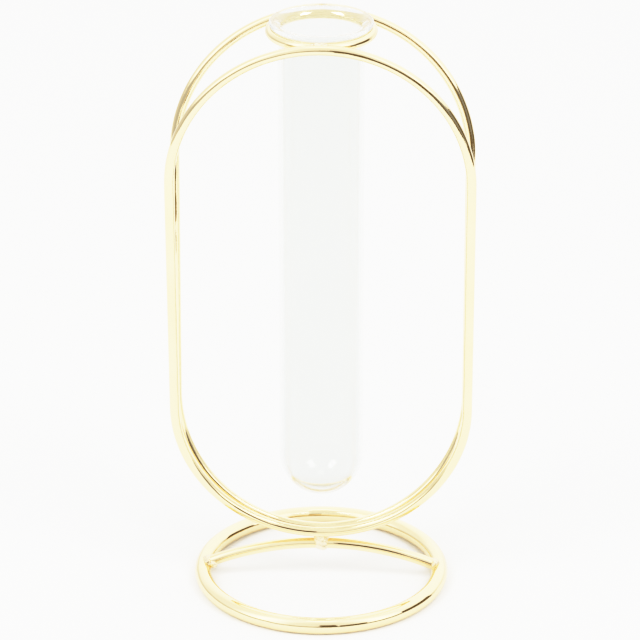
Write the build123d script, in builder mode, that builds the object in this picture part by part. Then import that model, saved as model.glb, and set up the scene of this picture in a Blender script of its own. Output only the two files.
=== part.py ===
from build123d import *
import os
from math import atan2, cos, hypot, sin

# A vase for one stem: a glass test tube hangs by its lip in a frame of welded round wire.
# Millimetres, +Z up. The origin is the centre of the base ring, on the table. Two long wire
# loops face along Y, the front one towards -Y, and lean apart towards the top.

# Test tube, the common 25 x 150 mm size with a flared lip
tube_od = 25.0
tube_length = 150.0
tube_wall = 1.2
lip_thickness = 1.5
lip_overhang = 2.55  # from the side of the tube out to the rounded edge of the lip
flare_r = 1.6  # radius from the side of the tube into the underside of the lip
mouth_round = 2.4  # radius from the lip's top into the bore

# Collar ring that the lip hangs on
collar_wire_d = 3.0
collar_clearance = 0.65  # between the side of the tube and the collar wire
lip_seat_gap = 0.1  # between the collar and the underside of the lip

# Front and rear loops, each a wire bent to a long oval
loop_wire_d = 3.0
loop_width = 87.0  # between the centre lines of the straight sides
loop_tube_gap = 12.1  # clear height from the loop bottoms up to the tube
loop_bottom_gap = 0.3  # between the two wires where the loops stand side by side
loop_sink = 1.0  # depth that welding draws a loop's top and the collar into each other

# Base ring on the table
base_ring_od = 77.0
base_rod_d = 5.0
foot_flat = 0.1  # depth dressed off the underside, so that the ring sits level

# Bowed wire across the ring that carries the loops
arch_wire_d = 3.4
arch_rise = 7.4
arch_foot_inset = 1.0  # from the ring's centre line in to the end of the wire
arch_foot_drop = 1.0  # from the top of the ring down to the centre of the wire's end
loop_standoff = 1.3  # clear height between the bowed wire and the loops, filled by weld

# Weld beads, round-ended: thickness, length of the straight middle, and place on the wires
arch_weld_d = 4.8
arch_weld_run = 0.4
arch_weld_setback = 1.1  # from the end of the bowed wire in to the middle of the bead
arch_weld_drop = 0.2  # from the centre of the wire's end down to the middle of the bead
loop_weld_d = 5.0
loop_weld_under = 0.35  # below the bowed wire
loop_weld_over = 0.7  # above the centre lines of the loop bottoms
collar_weld_d = 1.9
collar_weld_run = 3.4
collar_weld_lift = 0.95  # above the centre of the collar, in the groove between collar and loop

# Base ring and bowed wire, worked out from the sizes above
ring_r = base_ring_od / 2 - base_rod_d / 2
ring_z = base_rod_d / 2 - foot_flat
ring_top = base_rod_d - foot_flat
arch_foot_x = ring_r - arch_foot_inset
arch_foot_z = ring_top - arch_foot_drop
arch_apex_z = arch_foot_z + arch_rise

# Collar radius from the tube, then the rise and lean of the loops that bring their tops to it
collar_r = tube_od / 2 + collar_clearance + collar_wire_d / 2
loop_bend_r = loop_width / 2
loop_bottom_y = loop_wire_d / 2 + loop_bottom_gap / 2
loop_bottom_z = arch_apex_z + arch_wire_d / 2 + loop_standoff + loop_wire_d / 2
loop_top_y = collar_r + collar_wire_d / 2 - loop_sink + loop_wire_d / 2
lip_seat = collar_wire_d / 2 + lip_seat_gap
loop_rise = tube_length + loop_tube_gap + loop_wire_d / 2 - lip_seat - lip_thickness
loop_spread = loop_top_y - loop_bottom_y
loop_lean = atan2(loop_spread, loop_rise)
loop_straight = hypot(loop_rise, loop_spread) - loop_width
collar_z = loop_bottom_z + loop_rise

# Tube, hung with the underside of its lip on top of the collar
tube_r = tube_od / 2
bore_r = tube_r - tube_wall
lip_bottom = collar_z + lip_seat
lip_top = lip_bottom + lip_thickness
lip_edge_r = tube_r + lip_overhang - lip_thickness / 2
mouth_r = bore_r + mouth_round
round_end_z = lip_top - tube_length + tube_r

os.makedirs("parts", exist_ok=True)

# Base ring: a round rod spun about Z, with a narrow flat to stand on
with BuildPart() as base_ring:
    with BuildSketch(Plane.XZ):
        with Locations((ring_r, ring_z)):
            Circle(base_rod_d / 2)
        with Locations((ring_r, 0)):
            Rectangle(base_rod_d, base_rod_d, align=(Align.CENTER, Align.MAX), mode=Mode.SUBTRACT)
    revolve(axis=Axis.Z)
base_ring.part.label = "base_ring"
export_step(base_ring.part, "parts/base_ring.step")

# Bowed wire: its ends are mitred to sit on the ring's inner shoulder
with BuildPart() as base_arch:
    with BuildLine(Plane.XZ) as arch_path:
        ThreePointArc((-arch_foot_x, arch_foot_z), (0, arch_apex_z), (arch_foot_x, arch_foot_z))
    with BuildSketch(Plane(origin=arch_path.line @ 0, z_dir=arch_path.line % 0)):
        Circle(arch_wire_d / 2)
    sweep()
    add(base_ring.part, mode=Mode.SUBTRACT)
base_arch.part.label = "base_arch"
export_step(base_arch.part, "parts/base_arch.step")

# Collar ring: a small round wire ring, level, at the height of the loop tops
with BuildPart() as collar_ring:
    with BuildSketch(Plane.XZ):
        with Locations((collar_r, collar_z)):
            Circle(collar_wire_d / 2)
    revolve(axis=Axis.Z)
collar_ring.part.label = "collar_ring"
export_step(collar_ring.part, "parts/collar_ring.step")

# Loops: two straight sides and two half-round ends in a plane that leans out from the bottom.
# The collar is drawn into their tops by the weld
loops = {}
for label, side in (("front_loop", -1), ("rear_loop", 1)):
    up_the_loop = Vector(0, side * sin(loop_lean), cos(loop_lean))
    across = Vector(1, 0, 0)
    loop_plane = Plane(
        origin=(0, side * loop_bottom_y, loop_bottom_z), x_dir=across, z_dir=across.cross(up_the_loop)
    )
    with BuildPart() as loop:
        with BuildLine(loop_plane) as loop_path:
            bottom_bend = CenterArc((0, loop_bend_r), loop_bend_r, 180, 180)
            top_bend = CenterArc((0, loop_bend_r + loop_straight), loop_bend_r, 0, 180)
            Line(bottom_bend @ 1, top_bend @ 0)
            Line(top_bend @ 1, bottom_bend @ 0)
        with BuildSketch(Plane(origin=loop_path.line @ 0, z_dir=loop_path.line % 0)):
            Circle(loop_wire_d / 2)
        sweep()
        add(collar_ring.part, mode=Mode.SUBTRACT)
    loop.part.label = label
    export_step(loop.part, f"parts/{label}.step")
    loops[side] = loop.part

# Test tube: the section of its glass wall, round bottom to flared lip, spun about Z
with BuildPart() as test_tube:
    with BuildSketch(Plane.XZ):
        with BuildLine():
            outer_end = CenterArc((0, round_end_z), tube_r, -90, 90)
            flare = CenterArc((tube_r + flare_r, lip_bottom - flare_r), flare_r, 180, -90)
            lip_edge = CenterArc((lip_edge_r, lip_bottom + lip_thickness / 2), lip_thickness / 2, -90, 180)
            mouth = CenterArc((mouth_r, lip_top - mouth_round), mouth_round, 90, 90)
            inner_end = CenterArc((0, round_end_z), bore_r, 0, -90)
            Line(outer_end @ 1, flare @ 0)
            Line(flare @ 1, lip_edge @ 0)
            Line(lip_edge @ 1, mouth @ 0)
            Line(mouth @ 1, inner_end @ 0)
            Line(inner_end @ 1, outer_end @ 0)
        make_face()
    revolve(axis=Axis.Z)
test_tube.part.label = "test_tube"
export_step(test_tube.part, "parts/test_tube.step")

# Weld beads: each is a slot outline spun about its long axis, cut away where the wires run through it
arch_weld_x = arch_foot_x - arch_weld_setback
arch_weld_z = arch_foot_z - arch_weld_drop
loop_weld_bottom = arch_apex_z - arch_wire_d / 2 - loop_weld_under
loop_weld_top = loop_bottom_z + loop_weld_over
loop_weld_run = loop_weld_top - loop_weld_bottom - loop_weld_d
collar_weld_y = collar_r + collar_wire_d / 2 - loop_sink / 2
collar_weld_z = collar_z + collar_weld_lift
along_x = (1, 0, 0)
along_z = (0, 0, 1)
beads = {
    "arch_weld_left": ((-arch_weld_x, 0, arch_weld_z), along_x, arch_weld_run, arch_weld_d),
    "arch_weld_right": ((arch_weld_x, 0, arch_weld_z), along_x, arch_weld_run, arch_weld_d),
    "loop_weld": ((0, 0, (loop_weld_bottom + loop_weld_top) / 2), along_z, loop_weld_run, loop_weld_d),
    "collar_weld_front": ((0, -collar_weld_y, collar_weld_z), along_x, collar_weld_run, collar_weld_d),
    "collar_weld_rear": ((0, collar_weld_y, collar_weld_z), along_x, collar_weld_run, collar_weld_d),
}
wires = (base_ring.part, base_arch.part, collar_ring.part, loops[-1], loops[1])
for label, (centre, along, run, diameter) in beads.items():
    with BuildPart() as weld:
        with BuildSketch(Plane(origin=centre, x_dir=along, z_dir=(0, -1, 0))):
            SlotCenterToCenter(run, diameter)
            Rectangle(run + diameter, diameter, align=(Align.CENTER, Align.MAX), mode=Mode.SUBTRACT)
        revolve(axis=Axis(centre, along))
        add(wires, mode=Mode.SUBTRACT)
    weld.part.label = label
    export_step(weld.part, f"parts/{label}.step")
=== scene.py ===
# %% [markdown]
# # A test tube vase in gold wire
#
# The vase is a laboratory test tube that hangs by its lip in a frame of bent and welded wire. The
# frame arrives from CAD as exact solids, each with a name. This lesson models a smooth mesh for every
# one of them, gives the pieces plated gold and clear glass, and sets up the light and the camera.

# %% Load the fixed frame
from math import asin, atan2, cos, pi, radians, sin

import bpy
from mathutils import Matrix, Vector


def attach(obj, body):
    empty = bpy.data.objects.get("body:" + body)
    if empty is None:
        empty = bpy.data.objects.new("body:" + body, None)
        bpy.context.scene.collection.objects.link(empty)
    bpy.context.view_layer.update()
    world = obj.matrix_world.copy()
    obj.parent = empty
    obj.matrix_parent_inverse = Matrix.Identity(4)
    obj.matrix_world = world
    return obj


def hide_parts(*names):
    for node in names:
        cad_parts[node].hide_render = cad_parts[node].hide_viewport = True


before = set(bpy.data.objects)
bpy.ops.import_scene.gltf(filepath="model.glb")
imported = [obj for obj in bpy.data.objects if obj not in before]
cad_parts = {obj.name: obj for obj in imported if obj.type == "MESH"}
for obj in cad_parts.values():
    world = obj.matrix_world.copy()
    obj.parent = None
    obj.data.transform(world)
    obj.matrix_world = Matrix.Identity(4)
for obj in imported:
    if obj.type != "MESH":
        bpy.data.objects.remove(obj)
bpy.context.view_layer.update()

MM = 0.001
print("CAD nodes:", ", ".join(sorted(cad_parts)))

# %% [markdown]
# ## The camera
#
# The photograph was taken from about a metre away with a long lens, looking down by about 24 degrees.
# The place of the camera was worked out from the outlines of the base ring, the collar and the loops,
# which are circles and ovals of known size. A long lens keeps the two loops almost the same size in
# the picture, and that is why their sides nearly cover each other.

# %% Camera at the photograph's viewing angle
camera_place = (0.0279, -0.9995, 0.5374)
camera_pitch = 0.4245  # radians below the horizon
camera_yaw = 0.0283  # radians to the left
focal_pixels = 3711.0
picture_width = 640  # pixels
sensor_width = 36.0  # millimetres

lens = bpy.data.cameras.new("photo_camera")
lens.sensor_width = sensor_width
lens.lens = focal_pixels / picture_width * sensor_width
lens.dof.use_dof = False
camera = bpy.data.objects.new("photo_camera", lens)
camera.location = camera_place
camera.rotation_euler = (pi / 2 - camera_pitch, 0, camera_yaw)
bpy.context.scene.collection.objects.link(camera)
bpy.context.scene.camera = camera
print("lens in mm:", round(lens.lens, 1))

# %% [markdown]
# ## What gold plating looks like up close
#
# Plated wire is never one flat colour. The plating is a little paler here and warmer there, its polish
# is hazy in places, and hand bending leaves the wire faintly wavy, which makes the mirrored lines
# wander. The wires and the weld beads share this effect, so it is built once, as a node group with
# named sockets, and each material sets its own strengths. The shader itself stays in the material.

# %% Sockets of the plating group
plating = bpy.data.node_groups.new("plating", "ShaderNodeTree")


def plating_socket(in_out, name, kind, value=None):
    """Add a named input or output socket to the plating group."""
    socket = plating.interface.new_socket(name=name, in_out=in_out, socket_type=kind)
    if value is not None:
        socket.default_value = value


plating_socket("INPUT", "Place", "NodeSocketVector")
plating_socket("INPUT", "Pale Gold", "NodeSocketColor", (0.94, 0.76, 0.44, 1))
plating_socket("INPUT", "Warm Gold", "NodeSocketColor", (0.90, 0.69, 0.36, 1))
plating_socket("INPUT", "Polish", "NodeSocketFloat", 0.04)
plating_socket("INPUT", "Haze", "NodeSocketFloat", 0.12)
plating_socket("INPUT", "Wave Scale", "NodeSocketFloat", 90.0)
plating_socket("INPUT", "Grain Scale", "NodeSocketFloat", 1600.0)
plating_socket("INPUT", "Grain Share", "NodeSocketFloat", 0.1)
plating_socket("OUTPUT", "Colour", "NodeSocketColor")
plating_socket("OUTPUT", "Roughness", "NodeSocketFloat")
plating_socket("OUTPUT", "Height", "NodeSocketFloat")
print("plating sockets:", len(plating.interface.items_tree))

# %% Nodes of the plating group
smear_low, smear_high = 0.35, 0.8  # noise at which the polish starts to fade and is gone

given = plating.nodes.new("NodeGroupInput")
made = plating.nodes.new("NodeGroupOutput")


def plating_noise(scale, detail):
    """A noise texture at the piece's own place, with its scale as a number or from an input."""
    noise = plating.nodes.new("ShaderNodeTexNoise")
    noise.inputs["Detail"].default_value = detail
    plating.links.new(given.outputs["Place"], noise.inputs["Vector"])
    if isinstance(scale, str):
        plating.links.new(given.outputs[scale], noise.inputs["Scale"])
    else:
        noise.inputs["Scale"].default_value = scale
    return noise.outputs["Fac"]


clouds = plating_noise(scale=70.0, detail=3.0)
smears = plating_noise(scale=260.0, detail=4.0)
waves = plating_noise(scale="Wave Scale", detail=1.0)
grain = plating_noise(scale="Grain Scale", detail=2.0)

tint = plating.nodes.new("ShaderNodeMix")
tint.data_type = "RGBA"
plating.links.new(clouds, tint.inputs["Factor"])
plating.links.new(given.outputs["Pale Gold"], tint.inputs["A"])
plating.links.new(given.outputs["Warm Gold"], tint.inputs["B"])
plating.links.new(tint.outputs["Result"], made.inputs["Colour"])

hazy = plating.nodes.new("ShaderNodeMapRange")
hazy.inputs["From Min"].default_value = smear_low
hazy.inputs["From Max"].default_value = smear_high
plating.links.new(smears, hazy.inputs["Value"])
plating.links.new(given.outputs["Polish"], hazy.inputs["To Min"])
plating.links.new(given.outputs["Haze"], hazy.inputs["To Max"])
plating.links.new(hazy.outputs["Result"], made.inputs["Roughness"])

bumps = plating.nodes.new("ShaderNodeMix")
plating.links.new(given.outputs["Grain Share"], bumps.inputs["Factor"])
plating.links.new(waves, bumps.inputs["A"])
plating.links.new(grain, bumps.inputs["B"])
plating.links.new(bumps.outputs["Result"], made.inputs["Height"])
print("plating nodes:", len(plating.nodes), "links:", len(plating.links))

# %% [markdown]
# ## Gold for the wires and for the welds
#
# Both finishes are polished metal. The wires are bright with only a slight haze. The weld beads were
# plated as they came from the torch, so they are rougher and pitted, and their colour runs from paler
# to deeper than the gold of the wires.

# %% Gold finishes
wire_waves = 0.35 * MM  # depth of the bumps in the wires
weld_pits = 0.45 * MM  # depth of the bumps in the welds


def gold_finish(name, bump_depth, **strengths):
    """A metal material that takes its colour, roughness and bumps from the plating group."""
    finish = bpy.data.materials.new(name)
    finish.use_nodes = True
    nodes, links = finish.node_tree.nodes, finish.node_tree.links
    metal = nodes["Principled BSDF"]
    metal.inputs["Metallic"].default_value = 1.0
    place = nodes.new("ShaderNodeTexCoord")
    surface = nodes.new("ShaderNodeGroup")
    surface.node_tree = plating
    for socket, value in strengths.items():
        surface.inputs[socket.replace("_", " ").title()].default_value = value
    bump = nodes.new("ShaderNodeBump")
    bump.inputs["Distance"].default_value = bump_depth
    links.new(place.outputs["Object"], surface.inputs["Place"])
    links.new(surface.outputs["Colour"], metal.inputs["Base Color"])
    links.new(surface.outputs["Roughness"], metal.inputs["Roughness"])
    links.new(surface.outputs["Height"], bump.inputs["Height"])
    links.new(bump.outputs["Normal"], metal.inputs["Normal"])
    print(name, "bump depth in mm:", round(bump_depth / MM, 3))
    return finish


gold_plate = gold_finish("gold_plate", wire_waves, polish=0.04, haze=0.11, grain_share=0.02)
gold_weld = gold_finish(
    "gold_weld", weld_pits,
    pale_gold=(0.97, 0.88, 0.68, 1), warm_gold=(0.86, 0.63, 0.31, 1), polish=0.06, haze=0.22,
    wave_scale=900.0, grain_scale=3200.0, grain_share=0.4,
)

# %% [markdown]
# ## Clear glass
#
# Tube glass is drawn out while it is soft, which leaves faint waves along its length. Noise that is
# stretched along the tube bends the light a little, and a second noise dulls the glass here and there
# where it was touched. A trace of grey in the colour keeps the tube visible in front of white paper.

# %% Glass finish
trace_of_grey = (0.845, 0.86, 0.845, 1)
glass_ior = 1.5
along_the_tube = 0.12  # how much slower the waves change along the tube than round it
ripple_depth = 0.06 * MM
dull_range = (("From Min", 0.55), ("From Max", 0.75), ("To Min", 0.0), ("To Max", 0.025))

clear_glass = bpy.data.materials.new("clear_glass")
clear_glass.use_nodes = True
nodes, links = clear_glass.node_tree.nodes, clear_glass.node_tree.links
glass = nodes["Principled BSDF"]
glass.inputs["Base Color"].default_value = trace_of_grey
glass.inputs["IOR"].default_value = glass_ior
glass.inputs["Transmission Weight"].default_value = 1.0

place = nodes.new("ShaderNodeTexCoord")
stretch = nodes.new("ShaderNodeMapping")
stretch.inputs["Scale"].default_value = (1.0, 1.0, along_the_tube)
draw_waves = nodes.new("ShaderNodeTexNoise")
draw_waves.inputs["Scale"].default_value = 110.0
draw_waves.inputs["Detail"].default_value = 1.0
ripple = nodes.new("ShaderNodeBump")
ripple.inputs["Distance"].default_value = ripple_depth
links.new(place.outputs["Object"], stretch.inputs["Vector"])
links.new(stretch.outputs["Vector"], draw_waves.inputs["Vector"])
links.new(draw_waves.outputs["Fac"], ripple.inputs["Height"])
links.new(ripple.outputs["Normal"], glass.inputs["Normal"])

touched = nodes.new("ShaderNodeTexNoise")
touched.inputs["Scale"].default_value = 45.0
touched.inputs["Detail"].default_value = 5.0
dulled = nodes.new("ShaderNodeMapRange")
for name, number in dull_range:
    dulled.inputs[name].default_value = number
links.new(place.outputs["Object"], touched.inputs["Vector"])
links.new(touched.outputs["Fac"], dulled.inputs["Value"])
links.new(dulled.outputs["Result"], glass.inputs["Roughness"])
print("glass nodes:", len(nodes))

# %% [markdown]
# ## How a piece is started and finished
#
# Operators act on whatever is selected, so every piece starts with nothing selected. Each piece ends
# in the same way too: doubles are merged, the normals are turned outwards, the shading is smoothed,
# and the mesh takes the place of its CAD node. Small helpers hold those steps.

# %% Helpers for starting and finishing a piece
same_point = 0.001 * MM  # points closer than this are merged


def nothing_selected():
    """Leave edit mode and clear the selection, so that the next operator meets one piece only."""
    if bpy.context.object and bpy.context.object.mode != "OBJECT":
        bpy.ops.object.mode_set(mode="OBJECT")
    bpy.ops.object.select_all(action="DESELECT")


def shape_in_place():
    """Put the piece's place into its mesh, then open it in edit mode with all of it selected."""
    bpy.ops.object.transform_apply(location=True, rotation=True, scale=True)
    bpy.ops.object.mode_set(mode="EDIT")
    bpy.ops.mesh.select_mode(type="VERT")
    bpy.ops.mesh.select_all(action="SELECT")


def close_up(name, crease=40):
    """Merge doubles, turn the faces outwards and smooth all edges flatter than a crease in degrees."""
    piece = bpy.context.object
    bpy.ops.object.mode_set(mode="OBJECT")
    shape_in_place()
    bpy.ops.mesh.remove_doubles(threshold=same_point)
    bpy.ops.mesh.normals_make_consistent(inside=False)
    bpy.ops.object.mode_set(mode="OBJECT")
    bpy.ops.object.shade_smooth_by_angle(angle=radians(crease))
    piece.name = piece.data.name = name
    return piece


def stand_in(piece, node, body, finish):
    """The piece replaces its CAD node, moves with the body and takes its finish from the slot."""
    piece.data.materials.clear()
    piece.data.materials.append(finish)
    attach(piece, body)
    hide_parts(node)
    lowest, highest = Vector(piece.bound_box[0]), Vector(piece.bound_box[6])
    size = [round(v / MM, 2) for v in highest - lowest]
    print(piece.name, "faces:", len(piece.data.polygons), "size in mm:", size)


# %% [markdown]
# ## The base ring
#
# A thick rod bent to a ring lies on the table. A torus primitive would be round all over, but the CAD
# ring is dressed flat underneath so that it sits level. So the section of the rod is drawn first, as a
# circle with a slice cut off below, and that section is spun once round the upright axis.

# %% Base ring
rod_r = 2.5 * MM
ring_r = 36.0 * MM
ring_z = 2.4 * MM
cut_tolerance = 0.0001 * MM

nothing_selected()
bpy.ops.mesh.primitive_circle_add(
    vertices=56, radius=rod_r, location=(ring_r, 0, ring_z), rotation=(pi / 2, 0, 0)
)
shape_in_place()
bpy.ops.mesh.bisect(
    plane_co=(ring_r, 0, 0), plane_no=(0, 0, 1), clear_inner=True, threshold=cut_tolerance
)
bpy.ops.mesh.edge_face_add()
bpy.ops.mesh.select_all(action="SELECT")
bpy.ops.mesh.spin(steps=180, angle=2 * pi, center=(0, 0, 0), axis=(0, 0, 1))
base_ring = close_up("base_ring_rod")
stand_in(base_ring, "base_ring", "frame", gold_plate)

# %% [markdown]
# ## The bowed wire
#
# A thinner wire bows up across the ring, from left to right, and carries the loops at its middle. Its
# section starts at the left foot and is spun about the centre of the bow, which lies far below.

# %% Bowed wire
arch_wire_r = 1.7 * MM
arch_foot_x = 35.0 * MM
arch_foot_z = 3.9 * MM
arch_rise = 7.4 * MM
arch_apex_z = arch_foot_z + arch_rise
arch_r = (arch_foot_x**2 + arch_rise**2) / (2 * arch_rise)
arch_half_angle = asin(arch_foot_x / arch_r)

nothing_selected()
bpy.ops.mesh.primitive_circle_add(
    vertices=40, radius=arch_wire_r, fill_type="NGON",
    location=(-arch_foot_x, 0, arch_foot_z), rotation=(0, pi / 2 - arch_half_angle, 0),
)
shape_in_place()
bpy.ops.mesh.spin(
    steps=72, angle=2 * arch_half_angle, center=(0, 0, arch_apex_z - arch_r), axis=(0, -1, 0)
)
base_arch = close_up("base_arch_wire")
stand_in(base_arch, "base_arch", "frame", gold_plate)

# %% [markdown]
# ## The two loops
#
# Each loop is one wire bent to a long oval: two half-round ends joined by straight sides. The section
# is spun through the bottom bend, pulled up one straight side, spun over the top and pulled down the
# other side, just as the wire runs. The oval is modelled upright and then leant out from its bottom, so
# that its top meets the collar. The rear loop is a copy, turned half a turn about the upright axis.

# %% Front and rear loops
wire_r = 1.5 * MM
bend_r = 43.5 * MM
loop_bottom = Vector((0, -1.65, 15.8)) * MM
loop_top = Vector((0, -16.65, 176.3)) * MM
loop_lean = atan2(loop_bottom.y - loop_top.y, loop_top.z - loop_bottom.z)
straight = (loop_top - loop_bottom).length - 2 * bend_r

nothing_selected()
bpy.ops.mesh.primitive_circle_add(vertices=36, radius=wire_r, location=(bend_r, 0, bend_r))
shape_in_place()
bpy.ops.mesh.spin(steps=120, angle=pi, center=(0, 0, bend_r), axis=(0, -1, 0))
bpy.ops.mesh.extrude_region_move(TRANSFORM_OT_translate={"value": (0, 0, straight)})
bpy.ops.mesh.spin(steps=120, angle=pi, center=(0, 0, bend_r + straight), axis=(0, -1, 0))
bpy.ops.mesh.extrude_region_move(TRANSFORM_OT_translate={"value": (0, 0, -straight)})
bpy.ops.object.mode_set(mode="OBJECT")
bpy.context.object.rotation_euler = (loop_lean, 0, 0)
bpy.context.object.location = loop_bottom
front_loop = close_up("front_loop_wire")

nothing_selected()
front_loop.select_set(True)
bpy.ops.object.duplicate(linked=False)
bpy.context.object.rotation_euler = (0, 0, pi)
rear_loop = close_up("rear_loop_wire")
stand_in(front_loop, "front_loop", "frame", gold_plate)
stand_in(rear_loop, "rear_loop", "frame", gold_plate)

# %% [markdown]
# ## The collar
#
# A small ring of the same wire lies level between the tops of the loops, and welding has drawn the
# wires into each other a little. The tube hangs in it by its lip, with a hair's gap, so that the glass
# can be lifted out. A circle of wire is spun once round the upright axis, as for the base ring.

# %% Collar ring
collar_r = 14.65 * MM
collar_z = loop_top.z

nothing_selected()
bpy.ops.mesh.primitive_circle_add(
    vertices=36, radius=wire_r, location=(collar_r, 0, collar_z), rotation=(pi / 2, 0, 0)
)
shape_in_place()
bpy.ops.mesh.spin(steps=128, angle=2 * pi, center=(0, 0, 0), axis=(0, 0, 1))
collar_ring = close_up("collar_ring_wire")
stand_in(collar_ring, "collar_ring", "frame", gold_plate)

# %% [markdown]
# ## The weld beads
#
# A weld is a row of drops that ran together while they were hot. Each bead starts as a few spheres
# that overlap. A voxel remesh fuses them to one skin, a smooth modifier draws the necks between them
# round, and a displacement with cloudy noise makes the skin lumpy. Every bead is a little different.

# %% A bead from drops
lump_width = 1.1 * MM
skin_voxel = 0.12 * MM

lumps = bpy.data.textures.new("weld_lumps", "CLOUDS")
lumps.noise_scale = lump_width


def weld_bead(name, drops, lump_height=0.35 * MM):
    """Fuse drops, each a centre and a radius in millimetres, to one lumpy bead."""
    nothing_selected()
    for number, (x, y, z, r) in enumerate(drops):
        bpy.ops.mesh.primitive_uv_sphere_add(
            segments=24, ring_count=16, radius=r * MM, location=(x * MM, y * MM, z * MM)
        )
        if number == 0:
            shape_in_place()  # the other drops are added to the first one's mesh
    bpy.ops.object.mode_set(mode="OBJECT")
    bead = bpy.context.object
    fuse = bead.modifiers.new("fuse", "REMESH")
    fuse.mode = "VOXEL"
    fuse.voxel_size = skin_voxel
    necks = bead.modifiers.new("necks", "SMOOTH")
    necks.iterations = 12
    lumpy = bead.modifiers.new("lumpy", "DISPLACE")
    lumpy.texture = lumps
    lumpy.strength = lump_height
    settle = bead.modifiers.new("settle", "SMOOTH")
    settle.iterations = 3
    for step in ("fuse", "necks", "lumpy", "settle"):
        bpy.ops.object.modifier_apply(modifier=step)
    return close_up(name, crease=80)


# %% Beads at the feet of the bowed wire
left_drops = (
    (-34.1, 0.2, 4.1, 2.15), (-32.9, -1.2, 4.1, 1.3), (-34.5, -1.4, 4.8, 1.1),
    (-32.9, 1.1, 4.8, 1.3), (-35.0, 0.9, 4.9, 1.1),
)
right_drops = (
    (34.3, 0, 4.5, 1.8), (33.3, 0.3, 4.5, 1.7), (34.5, -1.1, 5.0, 1.1), (34.3, 1.3, 4.5, 1.2),
)

arch_weld_left = weld_bead("arch_weld_left_bead", left_drops)
stand_in(arch_weld_left, "arch_weld_left", "frame", gold_weld)
arch_weld_right = weld_bead("arch_weld_right_bead", right_drops)
stand_in(arch_weld_right, "arch_weld_right", "frame", gold_weld)

# %% Nub between the bowed wire and the loops
nub_drops = (
    (-0.2, 0, 11.4, 2.3), (0.4, -0.3, 12.4, 2.1), (-0.3, -0.9, 14.2, 1.9),
    (0.3, 0.9, 14.3, 1.9), (0.7, -0.8, 10.8, 1.5), (-0.8, -0.8, 12.8, 1.5),
)

loop_weld = weld_bead("loop_weld_nub", nub_drops)
stand_in(loop_weld, "loop_weld", "frame", gold_weld)

# %% Beads between the collar and the loop tops
front_drops = (
    (-2.1, -15.8, 177.1, 0.85), (-0.9, -15.9, 177.3, 1.0), (0.5, -15.8, 177.35, 0.95),
    (1.7, -15.9, 177.2, 0.9), (-0.3, -16.5, 177.3, 0.75), (1.0, -16.4, 177.3, 0.7),
)
rear_drops = (
    (-1.9, 15.7, 177.1, 0.8), (-0.6, 15.8, 177.2, 0.95), (0.6, 15.6, 177.2, 0.9),
    (1.9, 15.8, 177.1, 0.8),
)

collar_weld_front = weld_bead("collar_weld_front_bead", front_drops, lump_height=0.45 * MM)
stand_in(collar_weld_front, "collar_weld_front", "frame", gold_weld)
collar_weld_rear = weld_bead("collar_weld_rear_bead", rear_drops, lump_height=0.25 * MM)
stand_in(collar_weld_rear, "collar_weld_rear", "frame", gold_weld)

# %% [markdown]
# ## The test tube
#
# Glass needs a real wall with an inside and an outside, because light bends at both. A single point is
# spun and extruded to draw the section of the wall, from the round bottom up to the flared lip, over
# its fire-polished edge and down the bore. That line is then spun about the axis of the tube.

# %% Drawing a section with one point


def bend_to(centre_x, centre_z, degrees, steps):
    """Spin the end of the line about a point of the section, clockwise from the front if positive."""
    bpy.ops.mesh.spin(
        steps=steps, angle=radians(degrees), center=(centre_x, 0, centre_z), axis=(0, -1, 0)
    )


def run_to(x, z):
    """Extrude the end of the line straight to a point of the section."""
    bpy.ops.object.mode_set(mode="OBJECT")
    end = next(v.co.copy() for v in bpy.context.object.data.vertices if v.select)
    bpy.ops.object.mode_set(mode="EDIT")
    bpy.ops.mesh.extrude_vertices_move(TRANSFORM_OT_translate={"value": Vector((x, 0, z)) - end})


# %% Test tube
tube_r = 12.5 * MM
bore_r = 11.3 * MM
tube_bottom = 29.4 * MM
round_end_z = tube_bottom + tube_r
flare_r = 1.6 * MM
lip_seat = 1.6 * MM  # from the middle of the collar wire up to the lip
lip_bottom = collar_z + lip_seat
lip_thickness = 1.5 * MM
lip_top = lip_bottom + lip_thickness
lip_edge_r = 14.3 * MM
mouth_round = 2.4 * MM
mouth_r = bore_r + mouth_round

nothing_selected()
bpy.ops.mesh.primitive_plane_add(size=MM, location=(0, 0, tube_bottom))
shape_in_place()
bpy.ops.mesh.merge(type="CENTER")
bend_to(0, round_end_z, -90, steps=28)
run_to(tube_r, lip_bottom - flare_r)
bend_to(tube_r + flare_r, lip_bottom - flare_r, 90, steps=14)
run_to(lip_edge_r, lip_bottom)
bend_to(lip_edge_r, lip_bottom + lip_thickness / 2, -180, steps=18)
run_to(mouth_r, lip_top)
bend_to(mouth_r, lip_top - mouth_round, -90, steps=14)
run_to(bore_r, round_end_z)
bend_to(0, round_end_z, 90, steps=28)
bpy.ops.mesh.select_all(action="SELECT")
bpy.ops.mesh.spin(steps=160, angle=2 * pi, center=(0, 0, 0), axis=(0, 0, 1))
test_tube = close_up("test_tube_glass", crease=60)
stand_in(test_tube, "test_tube", "tube", clear_glass)

# %% [markdown]
# ## The floor
#
# The vase stands on plain white paper. A round sheet a little under two metres across is enough: beyond
# it the wires mirror the room instead.

# %% Floor
floor_r = 0.9
paper_white = (0.90, 0.905, 0.89, 1)

nothing_selected()
bpy.ops.mesh.primitive_circle_add(vertices=96, radius=floor_r, fill_type="NGON")
floor = bpy.context.object
floor.name = floor.data.name = "floor"
floor_white = bpy.data.materials.new("floor_white")
floor_white.use_nodes = True
paper = floor_white.node_tree.nodes["Principled BSDF"]
paper.inputs["Base Color"].default_value = paper_white
paper.inputs["Roughness"].default_value = 0.9
paper.inputs["Specular IOR Level"].default_value = 0.1
floor.data.materials.append(floor_white)
print("floor radius in m:", floor_r)

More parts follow.
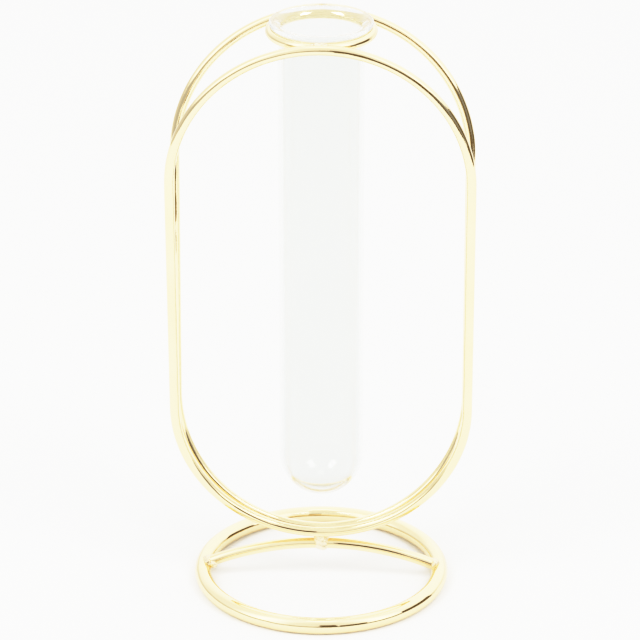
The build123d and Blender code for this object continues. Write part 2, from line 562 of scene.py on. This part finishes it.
# %% [markdown]
# ## Dark cards round the vase
#
# Polished metal on white paper is white on white. In a studio, dark cards just outside the picture help:
# the metal mirrors them as thin dark lines that draw its shape. Two cards lie on the floor, in front of
# the vase and to its right. Three more stand near the edge of the floor: beside the camera, in the
# corner to the right of it and on the right-hand side. They stand near rather than far away, so that
# the low base ring mirrors more of them than the tops of the loops do. Only mirror rays meet the cards,
# so they show in no view and cast no shade.

# %% Dark cards
dark_brown = (0.075, 0.055, 0.035, 1)
card_lift = MM  # of the lying cards above the paper
card_distance = 0.85  # of the standing cards from the vase
standing_cards = (  # name, degrees to the right of the front, width and height in metres
    ("card_camera", 9, 0.25, 0.57), ("card_corner", 30, 0.30, 0.36), ("card_side", 93, 0.56, 0.38),
)

card_brown = bpy.data.materials.new("card_brown")
card_brown.use_nodes = True
board = card_brown.node_tree.nodes["Principled BSDF"]
board.inputs["Base Color"].default_value = dark_brown
board.inputs["Specular IOR Level"].default_value = 0.0


def dark_card(name, place, width, height, stood_up=0.0, turn=0.0):
    """Lay a card with its middle at a place, or stand it up and turn it to face the vase."""
    nothing_selected()
    bpy.ops.mesh.primitive_plane_add(size=1.0, location=place, rotation=(stood_up, 0, turn))
    card = bpy.context.object
    card.scale = (width, height, 1)
    card.name = card.data.name = name
    card.data.materials.append(card_brown)
    card.visible_camera = card.visible_shadow = False
    card.visible_diffuse = card.visible_transmission = False
    print(name, "in m:", width, "by", height)


dark_card("card_front", (0.45, -0.66, card_lift), 0.9, 0.48)
dark_card("card_right", (0.70, -0.01, card_lift), 0.40, 0.72)
for name, degrees, width, height in standing_cards:
    turn = radians(degrees)
    foot = Vector((sin(turn), -cos(turn), 0)) * card_distance
    middle = foot + Vector((0, 0, height / 2))
    dark_card(name, middle, width, height, stood_up=pi / 2, turn=turn)

# %% [markdown]
# ## The room that the gold mirrors
#
# Polished wire shows little colour of its own. What we see is the room, squeezed into thin lines. This
# room is white almost all round, brighter where the soft boxes light its walls and right overhead, and
# dimmer in a low band along the horizon. The world shader paints it from the direction of each ray.
# Rays that come straight from the camera see plain white, and those through the glass very nearly so.

# %% Helpers for the world
world = bpy.data.worlds.new("studio_room")
bpy.context.scene.world = world
world.use_nodes = True
room = world.node_tree
room.nodes.clear()
print("world:", world.name)


def room_math(operation, *values):
    """Add a math node whose inputs are numbers or the outputs of other nodes."""
    node = room.nodes.new("ShaderNodeMath")
    node.operation = operation
    for socket, value in zip(node.inputs, values):
        if isinstance(value, (int, float)):
            socket.default_value = value
        else:
            room.links.new(value, socket)
    return node.outputs[0]


def room_mix(share, first, second):
    """Mix two brightnesses, each a number or the output of another node, by a share."""
    return room_math("MULTIPLY_ADD", share, room_math("SUBTRACT", second, first), first)


def room_ease(value, low, high, to_low, to_high):
    """Ease a value from one range to another, held at the ends."""
    node = room.nodes.new("ShaderNodeMapRange")
    node.interpolation_type = "SMOOTHSTEP"
    room.links.new(value, node.inputs["Value"])
    ends = (("From Min", low), ("From Max", high), ("To Min", to_low), ("To Max", to_high))
    for name, number in ends:
        node.inputs[name].default_value = number
    return node.outputs["Result"]


def round_the_room(angle, stops):
    """Brightness by compass angle: 0 is the camera's side, plus is to its right, 180 is behind."""
    node = room.nodes.new("ShaderNodeValToRGB")
    marks = node.color_ramp.elements
    for number, (degrees, grey) in enumerate(stops):
        mark = marks[number] if number < 2 else marks.new(1.0)  # a ramp starts with two marks
        mark.position = (degrees + 180) / 360
        mark.color = (grey, grey, grey, 1)
    room.links.new(room_math("MULTIPLY_ADD", angle, 1 / 360, 0.5), node.inputs["Fac"])
    return node.outputs["Color"]


# %% World
back_white = 1.85  # what the camera sees behind the vase
room_light = 1.7  # what lights the floor
glass_share = 0.95  # how much of the plain white shows through the glass
warm_white = (1.0, 1.0, 0.985, 1)
wall_stops = (
    (-180, 2.3), (-150, 2.1), (-120, 1.6), (-85, 1.7), (-56, 3.4), (-25, 1.6),
    (10, 1.4), (30, 1.6), (56, 3.4), (85, 1.9), (110, 2.3), (180, 2.3),
)
horizon_stops = (
    (-180, 2.1), (-150, 1.4), (-112, 0.95), (-80, 0.9), (-60, 0.65), (-6, 0.65),
    (0, 0.4), (20, 0.3), (75, 0.3), (85, 0.1), (102, 0.1), (124, 1.7), (180, 2.1),
)
ceiling_white, ceiling_edge = 2.0, (45, 80)  # each edge runs between two elevations in degrees
overhead_white, overhead_edge = 3.0, (78, 84)
horizon_edge = (9, 18)

direction = room.nodes.new("ShaderNodeSeparateXYZ")
room.links.new(room.nodes.new("ShaderNodeTexCoord").outputs["Generated"], direction.inputs[0])
x, y, z = direction.outputs
to_degrees = 180 / pi
elevation = room_math("MULTIPLY", room_math("ARCSINE", z), to_degrees)
towards_camera = room_math("MULTIPLY", y, -1.0)
azimuth = room_math("MULTIPLY", room_math("ARCTAN2", x, towards_camera), to_degrees)

walls = round_the_room(azimuth, wall_stops)
upper = room_mix(room_ease(elevation, *ceiling_edge, 0.0, 1.0), walls, ceiling_white)
overhead = room_mix(room_ease(elevation, *overhead_edge, 0.0, 1.0), upper, overhead_white)
horizon = round_the_room(azimuth, horizon_stops)
mirrored = room_mix(room_ease(elevation, *horizon_edge, 1.0, 0.0), overhead, horizon)

path = room.nodes.new("ShaderNodeLightPath")
through_glass = room_math("MULTIPLY", path.outputs["Is Transmission Ray"], glass_share)
straight_on = room_math("MAXIMUM", path.outputs["Is Camera Ray"], through_glass)
seen = room_mix(straight_on, mirrored, back_white)
brightness = room_mix(path.outputs["Is Diffuse Ray"], seen, room_light)
background = room.nodes.new("ShaderNodeBackground")
background.inputs["Color"].default_value = warm_white
room.links.new(brightness, background.inputs["Strength"])
room.links.new(background.outputs[0], room.nodes.new("ShaderNodeOutputWorld").inputs["Surface"])
print("world nodes:", len(room.nodes))

# %% [markdown]
# ## The soft boxes
#
# A pair of soft boxes stands left and right in front of the vase. They light the floor and give the two
# small highlights at the bottom of the tube. Mirrored straight in the gold they would burn out to white
# spots, so they are hidden from mirror rays and the brighter walls behind them show there instead.

# %% Soft boxes
box_turn, box_rise = radians(54), radians(50)  # to each side of the front, and up
box_distance = 1.3
box_aim = Vector((0, 0, 0.09))  # half-way up the vase
box_width, box_height = 0.38, 0.56
box_brightness = 11.0

for name, turn in (("soft_box_left", -box_turn), ("soft_box_right", box_turn)):
    light = bpy.data.lights.new(name, "AREA")
    light.shape = "RECTANGLE"
    light.size, light.size_y = box_width, box_height
    light.energy = box_brightness * pi * box_width * box_height
    box = bpy.data.objects.new(name, light)
    outwards = Vector((sin(turn) * cos(box_rise), -cos(turn) * cos(box_rise), sin(box_rise)))
    box.location = box_aim + box_distance * outwards
    box.rotation_euler = outwards.to_track_quat("Z", "Y").to_euler()
    box.visible_glossy = False
    bpy.context.scene.collection.objects.link(box)
    print(name, "watts:", round(light.energy, 2))

# %% [markdown]
# ## The tone curve
#
# The picture is bright: a camera rolls its highlights off softly, so that gold in full light turns
# cream before it turns white. A shoulder in the colour management does the same.

# %% Tone curve
brightest = 3.0
shoulder = ((0.1, 0.30), (0.2, 0.56), (0.333, 0.80), (0.5, 0.92), (0.75, 0.975))

tones = bpy.context.scene.view_settings
tones.view_transform = "Standard"
tones.use_curve_mapping = True
tones.curve_mapping.white_level = (brightest, brightest, brightest)
all_colours = tones.curve_mapping.curves[3]  # the first three are red, green and blue
for light_in, light_out in shoulder:
    all_colours.points.new(light_in, light_out)
tones.curve_mapping.update()
print("curve points:", len(all_colours.points))

# %% [markdown]
# ## Light inside the lip
#
# Light that enters the rounded lip of the tube is mirrored inside the glass many times before it comes
# out. A ray that is cut short turns black and draws hard lines round the lip, so rays may bounce far
# more often than usual.

# %% Bounces
most_bounces = 1024

cycles = bpy.context.scene.cycles
cycles.max_bounces = most_bounces
cycles.transmission_bounces = most_bounces
cycles.glossy_bounces = most_bounces
print("most bounces:", cycles.max_bounces)
